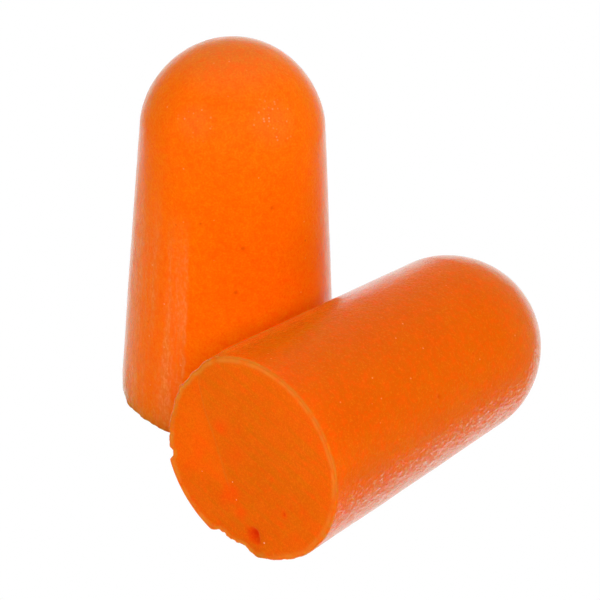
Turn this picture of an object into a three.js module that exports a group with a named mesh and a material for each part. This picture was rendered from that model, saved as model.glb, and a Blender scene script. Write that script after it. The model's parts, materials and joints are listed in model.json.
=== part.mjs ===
// A pair of soft foam ear plugs: one stands on its cut base, the other lies on its side in front of it.
// Millimetres, +Z up. The origin is the bottom centre of the pair's bounding box.
import * as THREE from 'three';

// The plug, a single foam moulding: a tapered body with a rounded tip and a flat cut base.
const BASE_DIAMETER = 13.0;
const SHOULDER_DIAMETER = 11.1;
const SHOULDER_HEIGHT = 18.7;
const LENGTH = 24.0;
// The tip is a superellipse: 2 is an ellipse, and a lower exponent is a little more pointed.
const TIP_EXPONENT = 1.84;

// How finely the plug is faceted. SIDES is a multiple of four, so that one facet faces straight down
// on the plug that lies on its side.
const SIDES = 64;
const TIP_STEPS = 12;

// Where the lying plug is, measured from the middle of the standing plug's base.
const LYING_BASE_X = 1.54;
const LYING_BASE_Y = -17.77;
const LYING_HEADING = THREE.MathUtils.degToRad(49.9);

const foam = new THREE.MeshStandardMaterial({ color: 0xf4660a, roughness: 0.6, metalness: 0 });

// Points (radius, height) from the middle of the base, up the side and round the tip to the axis.
function plugProfile() {
  const shoulderRadius = SHOULDER_DIAMETER / 2;
  const tipHeight = LENGTH - SHOULDER_HEIGHT;
  const points = [new THREE.Vector2(0, 0), new THREE.Vector2(BASE_DIAMETER / 2, 0)];
  for (let step = 0; step < TIP_STEPS; step += 1) {
    const angle = (step / TIP_STEPS) * (Math.PI / 2);
    const radius = shoulderRadius * Math.cos(angle) ** (2 / TIP_EXPONENT);
    const height = SHOULDER_HEIGHT + tipHeight * Math.sin(angle) ** (2 / TIP_EXPONENT);
    points.push(new THREE.Vector2(radius, height));
  }
  points.push(new THREE.Vector2(0, LENGTH));
  return points;
}

// A plug with its base centred on the origin, its axis along +Z, and a facet square to +X.
function makePlug(name) {
  const geometry = new THREE.LatheGeometry(plugProfile(), SIDES, Math.PI / SIDES);
  geometry.rotateX(Math.PI / 2);
  const plug = new THREE.Mesh(geometry, foam.clone());
  plug.name = name;
  return plug;
}

// Tips a plug over onto the facet that faces +X. The body tapers, so its axis dips towards the tip.
function layDown(plug) {
  const facet = Math.cos(Math.PI / SIDES);
  const narrowing = ((BASE_DIAMETER - SHOULDER_DIAMETER) / 2) * facet;
  const dip = Math.atan2(narrowing, SHOULDER_HEIGHT);
  plug.rotation.y = Math.PI / 2 + dip;
  const lying = new THREE.Group();
  lying.rotation.z = LYING_HEADING;
  lying.position.set(LYING_BASE_X, LYING_BASE_Y, (BASE_DIAMETER / 2) * facet * Math.cos(dip));
  lying.add(plug);
  return lying;
}

const plugs = new THREE.Group();
plugs.add(makePlug('upright_plug'), layDown(makePlug('lying_plug')));

// Puts the bottom centre of the bounding box at the origin.
const box = new THREE.Box3().setFromObject(plugs, true);
plugs.position.set(-(box.min.x + box.max.x) / 2, -(box.min.y + box.max.y) / 2, -box.min.z);

const pair = new THREE.Group();
pair.name = 'foam_ear_plugs';
pair.add(plugs);

export default pair;
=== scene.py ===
"""A pair of orange foam ear plugs, one standing on its cut base and one lying on its side before it."""

import json
import math

import bpy
import numpy as np
from mathutils import Matrix, Vector, noise


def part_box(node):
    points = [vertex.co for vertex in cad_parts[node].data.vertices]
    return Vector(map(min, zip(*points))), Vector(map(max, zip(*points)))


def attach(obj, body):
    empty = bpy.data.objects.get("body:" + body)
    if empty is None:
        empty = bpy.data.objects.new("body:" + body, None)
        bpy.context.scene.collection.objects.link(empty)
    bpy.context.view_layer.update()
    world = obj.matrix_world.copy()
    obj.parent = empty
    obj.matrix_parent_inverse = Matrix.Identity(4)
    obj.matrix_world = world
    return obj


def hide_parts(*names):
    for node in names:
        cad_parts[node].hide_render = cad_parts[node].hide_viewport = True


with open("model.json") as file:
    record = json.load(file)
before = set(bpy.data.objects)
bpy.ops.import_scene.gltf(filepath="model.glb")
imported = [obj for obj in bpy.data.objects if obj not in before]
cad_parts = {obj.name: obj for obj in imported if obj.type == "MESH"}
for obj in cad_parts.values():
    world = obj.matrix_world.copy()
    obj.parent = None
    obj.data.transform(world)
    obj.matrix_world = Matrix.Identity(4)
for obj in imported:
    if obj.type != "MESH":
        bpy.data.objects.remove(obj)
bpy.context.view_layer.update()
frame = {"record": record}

MM = 0.001
mounts = {mount["name"]: mount for mount in frame["record"]["mounts"]}
upright_low, upright_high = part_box("upright_plug")

# The plug, in millimetres. The CAD solid has CAD_SIDES flat sides, and its box is measured across two of
# them.
CAD_SIDES = 64
BASE_RADIUS = (upright_high.x - upright_low.x) / MM / 2 / math.cos(math.pi / CAD_SIDES)
LENGTH = upright_high.z / MM
SHOULDER_RADIUS = 0.854 * BASE_RADIUS
SHOULDER_HEIGHT = 0.779 * LENGTH
SIDE_BULGE = 0.02
SIDE_RISE = 0.05  # how much the side's outward direction points up, because the side tapers
TIP_EXPONENT = 1.85
EDGE_ROUND = 0.12

# The camera, placed from the middle of the standing plug's base.
CAMERA_ELEVATION = math.radians(32.82)
CAMERA_ROLL = math.radians(1.23)
CAMERA_DISTANCE = 516.2 * MM
CAMERA_LENS = 511.3
CAMERA_AIM = Vector((4.26, 0, 6.25)) * MM

# The floor is a white sheet just under the plugs: how far it reaches in metres, how far down it lies, how
# much of the light it sends back, and how much it gives off by itself.
FLOOR_REACH = 3
FLOOR_DROP = 0.02 * MM
FLOOR_WHITE = 0.8
FLOOR_GLOW = 0.18

# Where the white room is brighter: (direction, tightness, strength).
ROOM_GLOWS = (
    ((0, 1, 0), 2, 1.3),
    ((0.7, 0.7, 0.1), 6, 0.1),
    ((0, 0, 1), 2, 0.5),
)

# The lamps: (name, azimuth and elevation in degrees, side in metres, power in watts, colour). They all
# stand LAMP_DISTANCE metres away.
WHITE_LIGHT = (1, 1, 1)
WARM_LIGHT = (1, 0.9, 0.87)
LAMP_DISTANCE = 0.6
SOFTBOXES = (
    ("front_softbox", -90, 32.8, 0.15, 2.0, WARM_LIGHT),
    ("left_softbox", -115, 30, 0.2, 0.35, WHITE_LIGHT),
    ("top_softbox", -60, 55, 0.2, 0.8, WARM_LIGHT),
    ("right_softbox", -38, 32, 0.06, 0.3, WARM_LIGHT),
)

# How fine the mesh is.
SEGMENTS = 344
FACE_RINGS = 50
EDGE_RINGS = 5
SIDE_RINGS = 156
TIP_RINGS = 66

# Waviness of the skin and of the cut: (feature size, height, seed offset), in millimetres.
SKIN_WAVES = ((4.5, 0.02, 2), (0.7, 0.005, 3), (0.3, 0.004, 4))
CUT_WAVES = ((1.6, 0.03, 7), (0.28, 0.008, 8))

# The ragged foam at the rim, in millimetres: how deep it is, and how far up the side it fades.
RAGGED_DEPTH = 0.032
RAGGED_REACH = 0.25

# Chips in the rim of the cut end: (start, end, ramp, depth, reach). The first three are degrees round the
# plug, and depth and reach, which is how far it runs up the side, are millimetres.
UPRIGHT_CHIPS = (
    (-190, -163, 6, 0.04, 1.0),
    (-160, -154, 3, -0.07, 0.3),
    (-149, -131, 4, 0.05, 0.6),
    (20, 48, 8, 0.12, 0.9),
)
LYING_CHIPS = (
    (-38, -12, 8, 0.06, 1.5),
    (-6, 21.5, 5, 0.2, 1.0),
    (-3, 20.5, 2.5, 0.22, 0.7),
    (23, 68, 3, -0.08, 1.2),
    (68, 73.5, 3, 0.3, 0.6),
    (74, 84, 6, 0.12, 1.6),
    (84, 140, 26, 0.35, 2.6),
)

# How far a cut end leans, as mm of height for each mm along the plug's own x and y, and how far up the side
# the foam leans with it.
UPRIGHT_LEAN = (0, 0)
LYING_LEAN = (-0.01, -0.03)
LEAN_REACH = 3.0

# Strips up the side painted in another colour: a painted reflection, pale and flecked, on the upright plug,
# and painted shade along the lying plug's underside: (start, end, ramp, top, strength). The first three are
# degrees round the plug, and top is the height in millimetres where the strip has faded out, which it does
# over its last PAINTED_STRIP_FADE millimetres.
UPRIGHT_PAINTED_REFLECTION = (
    (-168, -136, 6, 18.5, 0.75),
    (-138, -128, 4, 15, 0.4),
    (-130, -115, 2.5, 16, 1.0),
)
LYING_PAINTED_SHADE = ((-98, -30, 22, 26, 1.0),)
PAINTED_STRIP_FADE = 7

# Pores in the side: (height, degrees round the plug, width, depth), the lengths in millimetres.
UPRIGHT_PORES = (
    (13.5, -82, 0.26, 0.1),
    (16, -64, 0.2, 0.07),
    (10.5, -86, 0.24, 0.08),
    (15, -108, 0.16, 0.05),
)
LYING_PORES = ((10.5, -112, 0.22, 0.1),)

# The pit and a red dot on the lying plug's cut end, as x and y in millimetres.
PIT = (5, -0.5)
RED_DOT = (2.7, -2.7)

# Dents in the lying plug's cut end: (x, y, width, depth), in millimetres.
LYING_DENTS = (
    (*PIT, 0.7, 0.42),
    (5.3, -0.85, 0.35, 0.1),
    (*RED_DOT, 0.2, 0.1),
)

# Redder, denser spots on the lying plug's cut end: (x, y, width, strength), all but the last in
# millimetres.
LYING_STAINS = (
    (0.4, 3.9, 0.9, 0.55),
    (1.3, 4.0, 0.7, 0.6),
    (2.2, 4.3, 0.6, 0.4),
    (-1.1, 2.4, 0.9, 0.7),
    (2.9, 1.3, 1.1, 0.8),
    (3.9, 0.5, 0.7, 0.8),
    (3.4, 1.8, 0.8, 0.5),
    (*PIT, 0.75, 1.0),
    (*RED_DOT, 0.36, 0.9),
    (-3.0, -5.1, 0.6, 0.4),
    (-2.9, 4.4, 0.7, 0.4),
    (0.2, 1.2, 1.2, 0.35),
)

# Two painted glints on the lying plug's cut end, beside the pit and across the step from it: (centre in the
# plug's own frame, radius), in millimetres. The cut's other painted glints are specks scattered by dots().
LYING_GLINTS = (((5.2, -1.4, 0), 0.07), ((2.4, 3.6, 0), 0.055))

# Where painted highlights, pale specks that stand for the lamps' shine, gather on the upright plug's dome:
# (centre in the plug's own frame, radius).
DOME_SPARKLES = (((-2.2, -4.1, 21.3), 1.4), ((2.5, -4.0, 21.3), 1.8))

# What the knife left across a cut end: fine marks along KNIFE_ANGLE, MARK_STRETCH times as long as they
# are wide, and on the lying plug a step down, at points on a gentle curve as x and y. Heights are in
# millimetres, and CUT_SINK is how far the cut lies inside its rim.
KNIFE_ANGLE = math.radians(-71)
MARK_STRETCH = 7
MARK_HEIGHT = 0.016
STEP_CURVE = ((-3.4, 4.2), (-1.8, 3.65), (-0.1, 2.75), (1.75, 1.9), (3.4, 1.1))
STEP_HEIGHT = 0.05
CUT_SINK = 0.05

# The skin of each plug. Its colours come first: "colour" mottled with "deep", then "tip" and "crown" up the
# dome, where "tip" is painted light, a paler, yellower colour, and "crown" is painted shade at the very
# end.
# Then come the colour of the painted strips and of their lighter flecks, and how strongly each is laid on:
# on the upright plug the strips are a pale painted reflection, and on the lying plug painted shade along
# its underside, with flecks of painted reflection. "grain" is how strong the fine grain is, and "pebble"
# and "scratch" are the depths of the gloss's bumps, in millimetres. The gloss rises from nothing to
# side_gloss or tip_gloss between two angles, given as 0 where the skin faces the eye and 1 where it is edge
# on. "speckle" is how far that angle flickers from place to place, and the strip shift moves it where the
# strips are painted.
UPRIGHT_LOOK = {
    "colour": (1.0, 0.168, 0.0),
    "deep": (0.99, 0.148, 0.0),
    "tip": (0.95, 0.171, 0.002),
    "crown": (0.76, 0.182, 0.018),
    "painted_reflection_and_shade": (0.86, 0.188, 0.022),
    "painted_strips": 0.85,
    "painted_fleck": (0.96, 0.26, 0.055),
    "painted_flecks": 0.9,
    "grain": 0.45,
    "rough": 0.32,
    "ior": 1.08,
    "pebble": 0.035,
    "scratch": 0.06,
    "speckle": 0.12,
    "gloss_start": 0.64,
    "gloss_end": 0.93,
    "side_gloss": 0.95,
    "tip_gloss": 1.0,
    "painted_strip_shift": -0.09,
}
LYING_LOOK = {
    "colour": (0.7, 0.127, 0.0),
    "deep": (0.68, 0.111, 0.0),
    "tip": (0.67, 0.15, 0.012),
    "crown": (0.61, 0.15, 0.012),
    "painted_reflection_and_shade": (0.58, 0.106, 0.0),
    "painted_strips": 0.35,
    "painted_fleck": (0.68, 0.17, 0.02),
    "painted_flecks": 0.5,
    "grain": 0.35,
    "rough": 0.3,
    "ior": 1.1,
    "pebble": 0.007,
    "scratch": 0.045,
    "speckle": 0.14,
    "gloss_start": 0.61,
    "gloss_end": 0.88,
    "side_gloss": 1.0,
    "tip_gloss": 0.9,
    "painted_strip_shift": 0.015,
}

# Colours that both skins share. SKIN_SPECK is also the colour of the painted highlights on the dome, and
# SKIN_PIT is painted shade in the pores and dents.
GRAIN_LIGHT = (1.0, 0.28, 0.014)
GRAIN_DARK = (0.94, 0.085, 0.0)
SKIN_BLOTCH = (0.98, 0.09, 0.0)
SKIN_SPECK = (1.0, 0.42, 0.2)
SKIN_PORE = (0.7, 0.05, 0.0)
SKIN_PIT = (0.6, 0.03, 0.0)
SKIN_LIP = (0.5, 0.18, 0.018)

# Colours of the cut foam. CUT_PIT is painted shade in the pit and dents, and CUT_SPECK and CUT_GLINT are
# painted glints.
CUT_COLOUR = (0.775, 0.133, 0.002)
CUT_DEEP = (0.735, 0.118, 0.001)
CUT_OLIVE = (0.66, 0.138, 0.0)
CUT_RED = (0.88, 0.08, 0.0)
CUT_MARK = (0.66, 0.145, 0.001)
CUT_STAIN = (0.92, 0.065, 0.0)
CUT_BRIGHTER = (0.96, 0.13, 0.0)
CUT_SEAM = (0.68, 0.15, 0.012)
CELL_LIGHT = (0.9, 0.24, 0.01)
CELL_DARK = (0.6, 0.07, 0.0)
CUT_RING = (0.68, 0.225, 0.024)
CUT_LIP = (0.56, 0.19, 0.02)
CUT_PIT = (0.66, 0.03, 0.0)
CUT_SPECK = (1.0, 0.7, 0.5)
CUT_GLINT = (1.0, 0.8, 0.65)


# ---------------------------------------------------------------- shape tools


def smooth_noise(points, size, seed):
    """Noise of about -1 to 1 at each point, with features about size millimetres across."""
    shift = Vector((3.7, 1.3, 7.9)) * seed
    flat = points.reshape(-1, 3) / size
    values = [noise.noise(Vector(point) + shift) for point in flat]
    return np.array(values).reshape(points.shape[:-1])


def waves(points, layers, seed):
    """Layers of noise added up, each (feature size, height, seed offset)."""
    return sum(height * smooth_noise(points, size, seed + offset) for size, height, offset in layers)


def ease(x):
    """0 below 0 and 1 above 1, with a smooth change between."""
    x = np.clip(x, 0, 1)
    return x * x * (3 - 2 * x)


def bump_at(distance, width):
    """1 at distance 0, falling smoothly to 0 at width."""
    return ease(1 - np.abs(distance) / width)


def within(turn, start, end, ramp):
    """1 between two angles and 0 outside them, with a ramp at each end, all in degrees."""
    middle, half = (start + end) / 2, (end - start) / 2
    off = np.abs((turn - middle + 180) % 360 - 180)
    return ease((half - off) / ramp + 0.5)


# ---------------------------------------------------------------- the plug


def side_radius(height):
    """The radius of the plug's side at a height, both in mm."""
    share = height / SHOULDER_HEIGHT
    taper = BASE_RADIUS + (SHOULDER_RADIUS - BASE_RADIUS) * share
    return taper + SIDE_BULGE * 4 * share * (1 - share)


def plug_profile():
    """The plug's outline as rows, from the middle of the cut end to the tip.

    Each row is (radius, height, radial normal, axial normal, kind).
    """
    rows = []
    face_radius = BASE_RADIUS - EDGE_ROUND
    for i in range(1, FACE_RINGS + 1):
        share = (i / FACE_RINGS) ** 0.8  # closer together towards the rim
        rows.append((face_radius * share, 0, 0, -1, "face"))
    for i in range(1, EDGE_RINGS + 1):
        angle = math.pi / 2 * i / EDGE_RINGS
        out, down = math.sin(angle), math.cos(angle)
        rows.append((face_radius + EDGE_ROUND * out, EDGE_ROUND * (1 - down), out, -down, "edge"))
    slope = (BASE_RADIUS - SHOULDER_RADIUS + 4 * SIDE_BULGE) / SHOULDER_HEIGHT
    for i in range(1, SIDE_RINGS + 1):
        height = EDGE_ROUND + (SHOULDER_HEIGHT - EDGE_ROUND) * i / SIDE_RINGS
        rows.append((side_radius(height), height, 1, SIDE_RISE, "side"))
    tip_height = LENGTH - SHOULDER_HEIGHT
    for i in range(1, TIP_RINGS):
        angle = math.pi / 2 * i / TIP_RINGS
        share = math.sin(angle) ** (2 / TIP_EXPONENT)
        base = SHOULDER_RADIUS - slope * tip_height * share * (1 - share)
        radius = base * math.cos(angle) ** (2 / TIP_EXPONENT)
        height = SHOULDER_HEIGHT + tip_height * share
        rows.append((radius, height, math.cos(angle), math.sin(angle), "tip"))
    return rows


def plug_faces(row_count):
    """Quads from each row to the next, then triangles round the middle of the cut and round the tip."""
    quads = []
    for row in range(row_count - 1):
        near, far = row * SEGMENTS, (row + 1) * SEGMENTS
        for i in range(SEGMENTS):
            j = (i + 1) % SEGMENTS
            quads.append((near + i, near + j, far + j, far + i))
    middle, tip = row_count * SEGMENTS, row_count * SEGMENTS + 1
    last = (row_count - 1) * SEGMENTS
    turns = [(i, (i + 1) % SEGMENTS) for i in range(SEGMENTS)]
    return quads + [(middle, j, i) for i, j in turns] + [(tip, last + i, last + j) for i, j in turns]


def rim_inset(turn, height, chips, seed):
    """How far the skin lies inside the round near the cut end, in mm, from chips and ragged foam."""
    radians = np.radians(turn)
    ring = np.stack([np.cos(radians), np.sin(radians), np.zeros_like(radians)], -1) * BASE_RADIUS
    nibble = smooth_noise(ring, 0.5, seed) + 0.7 * smooth_noise(ring, 0.22, seed + 1)
    inset = RAGGED_DEPTH * nibble * np.exp(-height / RAGGED_REACH)
    for start, end, ramp, depth, reach in chips:
        chip = within(turn, start, end, ramp) * ease(1 - height / reach)
        inset = inset + depth * chip * (1 + 0.35 * nibble)
    return inset


def knife_marks(points, seed):
    """The height of fine parallel marks that a blade leaves across the cut, about -1 to 1."""
    across = points[..., 1] * math.cos(KNIFE_ANGLE) - points[..., 0] * math.sin(KNIFE_ANGLE)
    along = points[..., 0] * math.cos(KNIFE_ANGLE) + points[..., 1] * math.sin(KNIFE_ANGLE)
    squeezed = np.stack([across, along / MARK_STRETCH, np.zeros_like(across)], -1)
    return smooth_noise(squeezed, 0.5, seed) + 0.5 * smooth_noise(squeezed, 0.2, seed + 1)


def knife_step(points):
    """How far each point lies past the blade's step, in mm, and how strong the step is there.

    It fades in over 1.2 mm from x = -4.4, and out over the last 1.6 mm before x = 3.4.
    """
    curve = np.array(STEP_CURVE)
    x, y = points[..., 0], points[..., 1]
    edge = np.interp(x, curve[:, 0], curve[:, 1])
    return y - edge, ease((x + 4.4) / 1.2) * ease((3.4 - x) / 1.6)


def on_side(height, turn):
    """The point on the plug's side at a height in mm and an angle in degrees."""
    angle = math.radians(turn)
    return side_radius(height) * math.cos(angle), side_radius(height) * math.sin(angle), height


def pit_depth_and_mask(points, pores, dents):
    """How deep the pores and dents are at each point, in mm, and a mask that is 1 in the middle of each."""
    pits = [(on_side(height, turn), width, depth) for height, turn, width, depth in pores]
    pits += [((x, y, 0), width, depth) for x, y, width, depth in dents]
    deep = np.zeros(points.shape[:-1])
    mask = np.zeros(points.shape[:-1])
    for centre, width, depth in pits:
        dent = bump_at(np.linalg.norm(points - np.array(centre), axis=-1), width)
        deep += depth * dent
        mask = np.maximum(mask, dent)
    return deep, mask


def stain_mask(points, is_cut, stains):
    """1 where the cut end is fully stained and 0 where it isn't."""
    clean = np.ones(points.shape[:-1])
    for x, y, width, strength in stains:
        distance = np.hypot(points[..., 0] - x, points[..., 1] - y)
        clean *= 1 - strength * bump_at(distance, width) * is_cut
    return 1 - clean


def rim_masks(points, turn, from_edge, is_cut, chips, seed):
    """The lip at the very edge, and the ring just inside it that widens where the rim is chipped."""
    uneven = np.clip(0.75 + 0.9 * smooth_noise(points, 0.5, seed + 9), 0, 1)
    torn = np.clip(sum(within(turn, *chip[:3]) for chip in chips), 0, 1)
    ring = np.maximum(bump_at(from_edge - 0.24, 0.26), torn * ease((0.5 - from_edge) / 0.35))
    return ease((0.17 - from_edge) / 0.1) * uneven, ring * is_cut * uneven


def painted_strip_mask(points, turn, height, painted_strips, seed):
    """1 where a strip of painted reflection and shade is full, in strips whose edges wander a little."""
    wander = 1.5 * smooth_noise(points, 0.7, seed + 10)
    mask = np.zeros(points.shape[:-1])
    for start, end, ramp, top, strength in painted_strips:
        strip = within(turn + wander, start, end, ramp) * ease((top - height) / PAINTED_STRIP_FADE)
        mask = np.maximum(mask, strength * strip)
    return mask


def write_mesh(name, points, row_count, masks):
    """The mesh through the points, with its masks, and the cut end on the second material."""
    vertices = np.concatenate([points.reshape(-1, 3), [points[0].mean(0)], [[0, 0, LENGTH]]])
    mesh = bpy.data.meshes.new(name)
    mesh.from_pydata(vertices.tolist(), [], plug_faces(row_count))
    cut_quads = (FACE_RINGS - 1) * SEGMENTS
    quads = (row_count - 1) * SEGMENTS
    material_indices = np.zeros(quads + 2 * SEGMENTS, int)
    material_indices[:cut_quads] = 1
    material_indices[quads : quads + SEGMENTS] = 1
    mesh.polygons.foreach_set("material_index", material_indices)
    mesh.polygons.foreach_set("use_smooth", np.ones(len(material_indices), bool))
    local = mesh.attributes.new("plug_mm", "FLOAT_VECTOR", "POINT")
    local.data.foreach_set("vector", vertices.ravel())
    for mask_name, values in masks.items():
        mask = mesh.attributes.new(mask_name, "FLOAT", "POINT")
        ends = [values[0].mean(), 0]
        mask.data.foreach_set("value", np.append(values.ravel(), ends).astype(np.float32))
    return mesh


def make_plug(name, chips, lean, pores, dents, stains, painted_strips, has_step, seed):
    """One plug's mesh in its own frame, in mm: base centre at the origin, tip along +Z."""
    rows = plug_profile()
    turn = (np.arange(SEGMENTS) * 360 / SEGMENTS)[None]
    radius, height, out, along = (np.array([row[i] for row in rows])[:, None] for i in range(4))
    kind = np.array([row[4] for row in rows])[:, None]
    cos, sin = np.cos(np.radians(turn)), np.sin(np.radians(turn))
    fades_inwards = (radius / BASE_RADIUS) ** 4
    ring = radius - rim_inset(turn, height, chips, seed) * fades_inwards
    points = np.stack([ring * cos, ring * sin, np.broadcast_to(height, ring.shape)], -1)
    normals = np.stack([out * cos, out * sin, np.broadcast_to(along, ring.shape)], -1)

    is_cut = (kind == "face") | (kind == "edge")
    from_edge = np.where(is_cut, BASE_RADIUS - radius, 0) + height
    past_step, step_fade = knife_step(points)
    step_fade = step_fade * has_step * (kind == "face")
    uneven_edge = 0.35 * smooth_noise(points, 0.6, seed + 11)
    deep, pit = pit_depth_and_mask(points, pores, dents)
    lip, rim = rim_masks(points, turn, from_edge, is_cut, chips, seed)
    masks = {
        "pit": pit,
        "stain": stain_mask(points, is_cut, stains),
        "lip": lip,
        "ring": rim,
        "brighter": ease(past_step / 1.6 + 0.5 + uneven_edge) * step_fade,
        "seam": bump_at(past_step, 0.13) * step_fade,
        # Painted reflection on the upright plug and painted shade on the lying one, in strips.
        "painted_reflection_and_shade": painted_strip_mask(points, turn, height, painted_strips, seed),
    }

    step = ease(past_step / 0.14 + 0.5) * step_fade
    cut_lift = MARK_HEIGHT * knife_marks(points, seed + 5) - STEP_HEIGHT * step - CUT_SINK
    cut_lift = (cut_lift + waves(points, CUT_WAVES, seed)) * ease((from_edge - 0.12) / 0.35)
    skin_lift = waves(points, SKIN_WAVES, seed) * ease(height / 0.4)
    lift = np.where(kind == "face", cut_lift, skin_lift) - deep
    points = points + normals * lift[..., None]
    leaning = lean[0] * points[..., 0] + lean[1] * points[..., 1]
    points[..., 2] += leaning * ease(1 - height / LEAN_REACH)
    return write_mesh(name, points, len(rows), masks)


def placement(mount_name, side_axis):
    """The matrix that puts a plug's cut end on a mount, with its own +X towards side_axis."""
    mount = mounts[mount_name]
    tip = -Vector(mount["axis"]).normalized()
    side = (side_axis - side_axis.dot(tip) * tip).normalized()
    turned = Matrix((side, tip.cross(side), tip)).transposed().to_4x4()
    return Matrix.Translation(mount["pos_m"]) @ turned @ Matrix.Scale(MM, 4)


def rest_on_floor(mesh):
    """Flattens the soft foam where it would sink into the floor."""
    for vertex in mesh.vertices:
        vertex.co.z = max(vertex.co.z, 0)


# ---------------------------------------------------------------- materials


def add_node(tree, kind, inputs=None, **settings):
    """A new node with its settings and inputs; an input is a value or another node's output."""
    node = tree.nodes.new(kind)
    for key, value in settings.items():
        setattr(node, key, value)
    for key, value in (inputs or {}).items():
        if isinstance(value, bpy.types.NodeSocket):
            tree.links.new(value, node.inputs[key])
        else:
            node.inputs[key].default_value = value
    return node


def noise_at(tree, coords, size, detail, roughness=0.5):
    """Noise from about 0.25 to 0.75, with features size millimetres across."""
    inputs = {"Vector": coords, "Scale": 1 / size, "Detail": detail, "Roughness": roughness}
    return add_node(tree, "ShaderNodeTexNoise", inputs).outputs["Fac"]


def remap(tree, value, low, high, to_low=0.0, to_high=1.0):
    """A value moved from the range low to high into to_low to to_high, and kept inside it."""
    inputs = {"Value": value, "From Min": low, "From Max": high, "To Min": to_low, "To Max": to_high}
    return add_node(tree, "ShaderNodeMapRange", inputs, clamp=True).outputs["Result"]


def combine(tree, operation, first, second):
    """Two values added, multiplied and so on; each is a number or a node's output."""
    return add_node(tree, "ShaderNodeMath", {0: first, 1: second}, operation=operation).outputs["Value"]


def mix_colour(tree, factor, first, second):
    """Two colours mixed; each is a node's output or an (r, g, b)."""
    inputs = {0: factor, 6: first, 7: second}
    for key in (6, 7):
        if isinstance(inputs[key], tuple):
            inputs[key] = (*inputs[key], 1)
    return add_node(tree, "ShaderNodeMix", inputs, data_type="RGBA", blend_type="MIX").outputs[2]


def paint(tree, base, mask, strength, colour):
    """The base colour with another laid over it where a mask is 1."""
    return mix_colour(tree, combine(tree, "MULTIPLY", mask, strength), base, colour)


def dots(tree, coords, spacing, size, share):
    """1 at scattered dots and 0 between them.

    Spacing and size are millimetres, and share is how many of the places have a dot.
    """
    cells = add_node(tree, "ShaderNodeTexVoronoi", {"Vector": coords, "Scale": 1 / spacing})
    chosen = add_node(tree, "ShaderNodeSeparateColor", {"Color": cells.outputs["Color"]}).outputs["Red"]
    chosen = combine(tree, "GREATER_THAN", chosen, 1 - share)
    edge = size / spacing
    near = remap(tree, cells.outputs["Distance"], edge, edge * 0.4)
    return combine(tree, "MULTIPLY", near, chosen)


def spots(tree, coords, places):
    """1 at each place, given as (centre, radius), and 0 elsewhere."""
    total = 0.0
    for centre, radius in places:
        inputs = {0: coords, 1: centre}
        away = add_node(tree, "ShaderNodeVectorMath", inputs, operation="DISTANCE").outputs["Value"]
        total = combine(tree, "MAXIMUM", total, remap(tree, away, radius, radius * 0.4))
    return total


def mask_value(tree, name):
    """One of the masks that the plug's mesh holds."""
    return add_node(tree, "ShaderNodeAttribute", attribute_name=name).outputs["Fac"]


def stretched(tree, coords, stretch, angle=0.0):
    """Coordinates that make marks (x, y, z) = stretch times as long, turned by an angle about Z."""
    inputs = {"Vector": coords, "Rotation": (0, 0, angle), "Scale": stretch}
    return add_node(tree, "ShaderNodeMapping", inputs, vector_type="TEXTURE").outputs["Vector"]


def bumps(tree, layers):
    """A normal with stacked bumps. Each layer is (height, depth in millimetres)."""
    normal = None
    for height, depth in layers:
        inputs = {"Height": height, "Distance": depth * MM, "Strength": 1.0}
        if normal is not None:
            inputs["Normal"] = normal
        normal = add_node(tree, "ShaderNodeBump", inputs).outputs["Normal"]
    return normal


def foam_material(name):
    """A new material for soft foam, which lets red light spread under its surface."""
    material = bpy.data.materials.new(name)
    material.use_nodes = True
    tree = material.node_tree
    coords = add_node(tree, "ShaderNodeAttribute", attribute_name="plug_mm").outputs["Vector"]
    shader = tree.nodes["Principled BSDF"]
    shader.inputs["Specular Tint"].default_value = (1, 0.5, 0.2, 1)
    shader.inputs["Subsurface Weight"].default_value = 1.0
    shader.inputs["Subsurface Radius"].default_value = (2.0, 0.15, 0.03)
    shader.inputs["Subsurface Scale"].default_value = 2.5 * MM
    shader.inputs["Sheen Weight"].default_value = 0.08
    shader.inputs["Sheen Roughness"].default_value = 0.3
    shader.inputs["Sheen Tint"].default_value = (1, 0.7, 0.1, 1)
    return material, tree, coords, shader


def add_glancing_gloss(tree, shader, coords, pebbles, painted_reflection_and_shade, tip, look):
    """A coat that only shows at glancing angles, as the shine of a fine-grained skin does."""
    scratches = noise_at(tree, stretched(tree, coords, (1, 1, 3)), size=0.17, detail=3, roughness=0.65)
    scratches = combine(tree, "MULTIPLY", scratches, remap(tree, painted_reflection_and_shade, 0, 1, 0.3, 1.0))
    normal = bumps(tree, ((pebbles, look["pebble"]), (scratches, look["scratch"])))
    flicker = noise_at(tree, stretched(tree, coords, (1, 1, 3)), size=0.14, detail=3, roughness=0.65)
    flicker = remap(tree, flicker, 0.38, 0.62, -look["speckle"], look["speckle"])
    flicker = combine(tree, "MULTIPLY", flicker, remap(tree, painted_reflection_and_shade, 0, 1, 0.35, 1.0))
    shift = combine(tree, "ADD", flicker, remap(tree, painted_reflection_and_shade, 0, 1, 0.0, look["painted_strip_shift"]))
    facing = add_node(tree, "ShaderNodeLayerWeight", {"Blend": 0.5, "Normal": normal}).outputs["Facing"]
    inputs = {
        "Value": combine(tree, "ADD", facing, shift),
        "From Min": look["gloss_start"],
        "From Max": look["gloss_end"],
    }
    rise = add_node(tree, "ShaderNodeMapRange", inputs, interpolation_type="SMOOTHSTEP").outputs["Result"]
    share = remap(tree, tip, 0, 1, look["side_gloss"], look["tip_gloss"])
    tree.links.new(combine(tree, "MULTIPLY", rise, share), shader.inputs["Coat Weight"])
    tree.links.new(normal, shader.inputs["Coat Normal"])
    shader.inputs["Coat Roughness"].default_value = 0.15
    shader.inputs["Coat IOR"].default_value = 4.0


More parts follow.
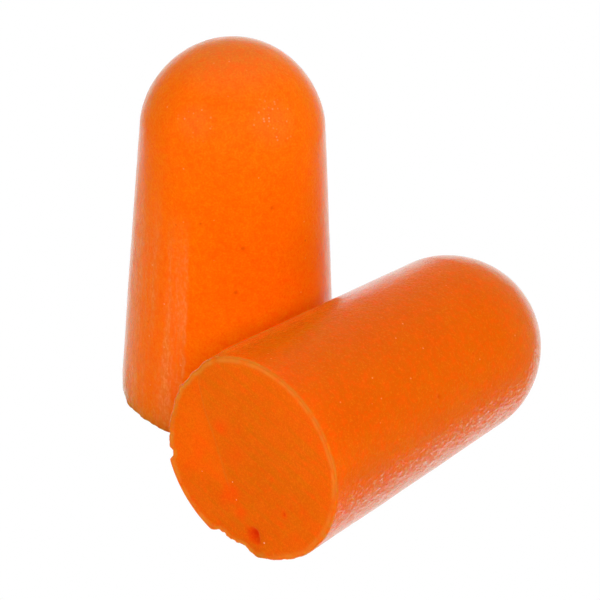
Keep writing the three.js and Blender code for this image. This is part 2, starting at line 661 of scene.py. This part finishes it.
def skin_material(name, look, sparkles):
    """The closed outer skin: fine-grained, with a few pale specks, dark pores, and painted light and shade.
    """
    material, tree, coords, shader = foam_material(name)
    painted_reflection_and_shade = mask_value(tree, "painted_reflection_and_shade")
    tone = remap(tree, noise_at(tree, coords, size=3.2, detail=3), 0.3, 0.7)
    base = mix_colour(tree, tone, look["colour"], look["deep"])
    height = add_node(tree, "ShaderNodeSeparateXYZ", {"Vector": coords}).outputs["Z"]
    # Painted light up the dome, a paler and yellower tip, and painted shade on its crown.
    tip = remap(tree, height, SHOULDER_HEIGHT - 1.5, SHOULDER_HEIGHT + 2.5)
    base = paint(tree, base, tip, 1.0, look["tip"])
    crown = remap(tree, height, LENGTH - 1.6, LENGTH - 0.1)
    base = paint(tree, base, crown, 1.0, look["crown"])
    grain = noise_at(tree, coords, size=0.13, detail=3, roughness=0.65)
    base = paint(tree, base, remap(tree, grain, 0.5, 0.72), look["grain"], GRAIN_LIGHT)
    base = paint(tree, base, remap(tree, grain, 0.5, 0.3), look["grain"], GRAIN_DARK)
    blotches = noise_at(tree, coords, size=0.5, detail=2)
    base = paint(tree, base, remap(tree, blotches, 0.45, 0.68), 0.25, SKIN_BLOTCH)
    # Painted strips: painted reflection, pale and flecked, on the upright plug; painted shade on the lying
    # one.
    streaks = noise_at(tree, stretched(tree, coords, (1, 1, 14)), size=0.75, detail=3, roughness=0.55)
    streaks = combine(tree, "MULTIPLY", remap(tree, streaks, 0.4, 0.6, 0.15, 1.0), painted_reflection_and_shade)
    painted_flecks = noise_at(tree, stretched(tree, coords, (1, 1, 2)), size=0.2, detail=3, roughness=0.65)
    painted_flecks = combine(tree, "MULTIPLY", streaks, remap(tree, painted_flecks, 0.46, 0.62))
    base = paint(tree, base, streaks, look["painted_strips"], look["painted_reflection_and_shade"])
    base = paint(tree, base, painted_flecks, look["painted_flecks"], look["painted_fleck"])
    base = paint(tree, base, dots(tree, coords, spacing=0.9, size=0.075, share=0.35), 0.5, SKIN_SPECK)
    base = paint(tree, base, dots(tree, coords, spacing=1.5, size=0.1, share=0.3), 0.6, SKIN_PORE)
    # Painted highlights: pale specks and a faint lift where the lamps would shine on the upright plug's
    # dome.
    sparkle = combine(tree, "ADD", dots(tree, coords, spacing=0.28, size=0.085, share=0.5), 0.05)
    sparkle = combine(tree, "MULTIPLY", sparkle, spots(tree, coords, sparkles))
    base = paint(tree, base, sparkle, 0.65, SKIN_SPECK)
    # Painted shade inside the pores and dents.
    base = paint(tree, base, mask_value(tree, "pit"), 0.55, SKIN_PIT)
    base = paint(tree, base, mask_value(tree, "lip"), 0.8, SKIN_LIP)
    tree.links.new(base, shader.inputs["Base Color"])
    roughness = remap(tree, grain, 0.3, 0.7, look["rough"] - 0.06, look["rough"] + 0.08)
    tree.links.new(roughness, shader.inputs["Roughness"])
    shader.inputs["IOR"].default_value = look["ior"]
    pebbles = noise_at(tree, coords, size=0.24, detail=2, roughness=0.55)
    tree.links.new(bumps(tree, ((pebbles, 0.04), (grain, 0.025))), shader.inputs["Normal"])
    add_glancing_gloss(tree, shader, coords, pebbles, painted_reflection_and_shade, tip, look)
    return material


def cut_material(name, glints):
    """Open foam where the knife went through: matt, mottled, streaked by the blade, with tiny painted
    glints.
    """
    material, tree, coords, shader = foam_material(name)
    tone = remap(tree, noise_at(tree, coords, size=1.6, detail=4, roughness=0.6), 0.32, 0.68)
    base = mix_colour(tree, tone, CUT_COLOUR, CUT_DEEP)
    olive = noise_at(tree, coords, size=0.9, detail=4, roughness=0.65)
    base = paint(tree, base, remap(tree, olive, 0.5, 0.68), 0.6, CUT_OLIVE)
    red = noise_at(tree, coords, size=0.63, detail=3, roughness=0.6)
    base = paint(tree, base, remap(tree, red, 0.55, 0.7), 0.4, CUT_RED)
    along_cut = stretched(tree, coords, (MARK_STRETCH, 1, 1), KNIFE_ANGLE)
    marks = noise_at(tree, along_cut, size=0.5, detail=3, roughness=0.55)
    base = paint(tree, base, remap(tree, marks, 0.48, 0.62), 0.6, CUT_MARK)
    base = paint(tree, base, mask_value(tree, "stain"), 0.85, CUT_STAIN)
    base = paint(tree, base, mask_value(tree, "brighter"), 0.5, CUT_BRIGHTER)
    base = paint(tree, base, mask_value(tree, "seam"), 0.55, CUT_SEAM)
    cells = noise_at(tree, coords, size=0.11, detail=3, roughness=0.7)
    base = paint(tree, base, remap(tree, cells, 0.5, 0.72), 0.5, CELL_LIGHT)
    base = paint(tree, base, remap(tree, cells, 0.5, 0.3), 0.3, CELL_DARK)
    base = paint(tree, base, mask_value(tree, "ring"), 0.9, CUT_RING)
    base = paint(tree, base, mask_value(tree, "lip"), 0.7, CUT_LIP)
    # Painted shade inside the pit and dents.
    base = paint(tree, base, mask_value(tree, "pit"), 0.75, CUT_PIT)
    # Painted glints: tiny scattered specks, and the glints listed for the lying plug.
    base = paint(tree, base, dots(tree, coords, spacing=1.1, size=0.045, share=0.35), 0.85, CUT_SPECK)
    base = paint(tree, base, spots(tree, coords, glints), 0.9, CUT_GLINT)
    tree.links.new(base, shader.inputs["Base Color"])
    shader.inputs["Roughness"].default_value = 0.75
    shader.inputs["Specular IOR Level"].default_value = 0.08
    crumbs = noise_at(tree, coords, size=0.3, detail=3, roughness=0.6)
    normal = bumps(tree, ((marks, 0.03), (crumbs, 0.03), (cells, 0.02)))
    tree.links.new(normal, shader.inputs["Normal"])
    return material


# ---------------------------------------------------------------- the two plugs


def add_plug(node, body, mount, side_axis, mesh, materials):
    """Puts a plug's mesh on its mount, in place of its CAD solid."""
    mesh.transform(placement(mount, side_axis))
    rest_on_floor(mesh)
    for material in materials:
        mesh.materials.append(material)
    plug = bpy.data.objects.new(mesh.name, mesh)
    bpy.context.scene.collection.objects.link(plug)
    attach(plug, body)
    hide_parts(node)


upright_mesh = make_plug(
    "upright_plug_foam",
    chips=UPRIGHT_CHIPS,
    lean=UPRIGHT_LEAN,
    pores=UPRIGHT_PORES,
    dents=(),
    stains=(),
    painted_strips=UPRIGHT_PAINTED_REFLECTION,
    has_step=False,
    seed=1,
)
add_plug(
    "upright_plug",
    "upright",
    "upright_base",
    Vector((1, 0, 0)),
    upright_mesh,
    (skin_material("upright_skin", UPRIGHT_LOOK, DOME_SPARKLES), cut_material("upright_cut", ())),
)
lying_mesh = make_plug(
    "lying_plug_foam",
    chips=LYING_CHIPS,
    lean=LYING_LEAN,
    pores=LYING_PORES,
    dents=LYING_DENTS,
    stains=LYING_STAINS,
    painted_strips=LYING_PAINTED_SHADE,
    has_step=True,
    seed=8,
)
add_plug(
    "lying_plug",
    "lying",
    "lying_cut_end",
    Vector((0, 0, -1)),
    lying_mesh,
    (skin_material("lying_skin", LYING_LOOK, ()), cut_material("lying_cut", LYING_GLINTS)),
)

# ---------------------------------------------------------------- floor, light and camera


def make_floor():
    """A sheet of white paper, so bright in the picture and in reflections that it shows no shadows."""
    sides = ((-1, -1), (1, -1), (1, 1), (-1, 1))
    corners = [(x * FLOOR_REACH, y * FLOOR_REACH, -FLOOR_DROP) for x, y in sides]
    mesh = bpy.data.meshes.new("floor")
    mesh.from_pydata(corners, [], [(0, 1, 2, 3)])
    floor = bpy.data.objects.new("floor", mesh)
    bpy.context.scene.collection.objects.link(floor)
    material = bpy.data.materials.new("white_floor")
    material.use_nodes = True
    tree = material.node_tree
    tree.nodes.remove(tree.nodes["Principled BSDF"])
    white = (FLOOR_WHITE, FLOOR_WHITE, FLOOR_WHITE, 1)
    paper = add_node(tree, "ShaderNodeBsdfDiffuse", {"Color": white}).outputs[0]
    glow = add_node(tree, "ShaderNodeEmission", {"Strength": FLOOR_GLOW}).outputs[0]
    lit = add_node(tree, "ShaderNodeAddShader", {0: paper, 1: glow}).outputs[0]
    bright = add_node(tree, "ShaderNodeEmission", {"Strength": 1.0}).outputs[0]
    path = add_node(tree, "ShaderNodeLightPath")
    seen = combine(tree, "MAXIMUM", path.outputs["Is Camera Ray"], path.outputs["Is Glossy Ray"])
    surface = add_node(tree, "ShaderNodeMixShader", {0: seen, 1: lit, 2: bright}).outputs[0]
    tree.links.new(surface, tree.nodes["Material Output"].inputs["Surface"])
    mesh.materials.append(material)


def make_world():
    """A white room that is brighter towards some directions, and plain white in the picture."""
    world = bpy.data.worlds.new("white_room")
    world.use_nodes = True
    tree = world.node_tree
    looking = add_node(tree, "ShaderNodeTexCoord").outputs["Generated"]
    total = 0.0
    for direction, tightness, strength in ROOM_GLOWS:
        inputs = {0: looking, 1: direction}
        facing = add_node(tree, "ShaderNodeVectorMath", inputs, operation="DOT_PRODUCT").outputs["Value"]
        lobe = combine(tree, "POWER", combine(tree, "MAXIMUM", facing, 0.0), tightness)
        total = combine(tree, "ADD", total, combine(tree, "MULTIPLY", lobe, strength))
    seen = add_node(tree, "ShaderNodeLightPath").outputs["Is Camera Ray"]
    tree.nodes["Background"].inputs["Color"].default_value = (1, 1, 1, 1)
    tree.links.new(remap(tree, seen, 0, 1, total, 1.0), tree.nodes["Background"].inputs["Strength"])
    bpy.context.scene.world = world


def softbox(name, azimuth, elevation, side, power, colour):
    """A square lamp that faces the plugs. Azimuth is measured from +X towards +Y, in degrees."""
    across, up = math.radians(azimuth), math.radians(elevation)
    out = Vector((math.cos(across) * math.cos(up), math.sin(across) * math.cos(up), math.sin(up)))
    lamp = bpy.data.lights.new(name, "AREA")
    lamp.shape = "SQUARE"
    lamp.size = side
    lamp.energy = power
    lamp.color = colour
    box = bpy.data.objects.new(name, lamp)
    box.location = out * LAMP_DISTANCE
    box.rotation_euler = out.to_track_quat("Z", "Y").to_euler()
    box.visible_camera = False
    bpy.context.scene.collection.objects.link(box)


def make_camera():
    """A long lens that looks down at the plugs from the photo's angle."""
    base = Vector(mounts["upright_base"]["pos_m"])
    back = Vector((0, -math.cos(CAMERA_ELEVATION), math.sin(CAMERA_ELEVATION)))
    level = Vector((1, 0, 0))
    upward = back.cross(level)
    right = math.cos(CAMERA_ROLL) * level + math.sin(CAMERA_ROLL) * upward
    above = math.cos(CAMERA_ROLL) * upward - math.sin(CAMERA_ROLL) * level
    data = bpy.data.cameras.new("camera")
    data.lens = CAMERA_LENS
    data.clip_start = 0.01
    camera = bpy.data.objects.new("camera", data)
    turned = Matrix((right, above, back)).transposed().to_4x4()
    camera.matrix_world = Matrix.Translation(base + CAMERA_AIM + back * CAMERA_DISTANCE) @ turned
    bpy.context.scene.collection.objects.link(camera)
    bpy.context.scene.camera = camera


make_floor()
make_world()
for lamp_values in SOFTBOXES:
    softbox(*lamp_values)
make_camera()
bpy.context.scene.view_settings.view_transform = "Standard"
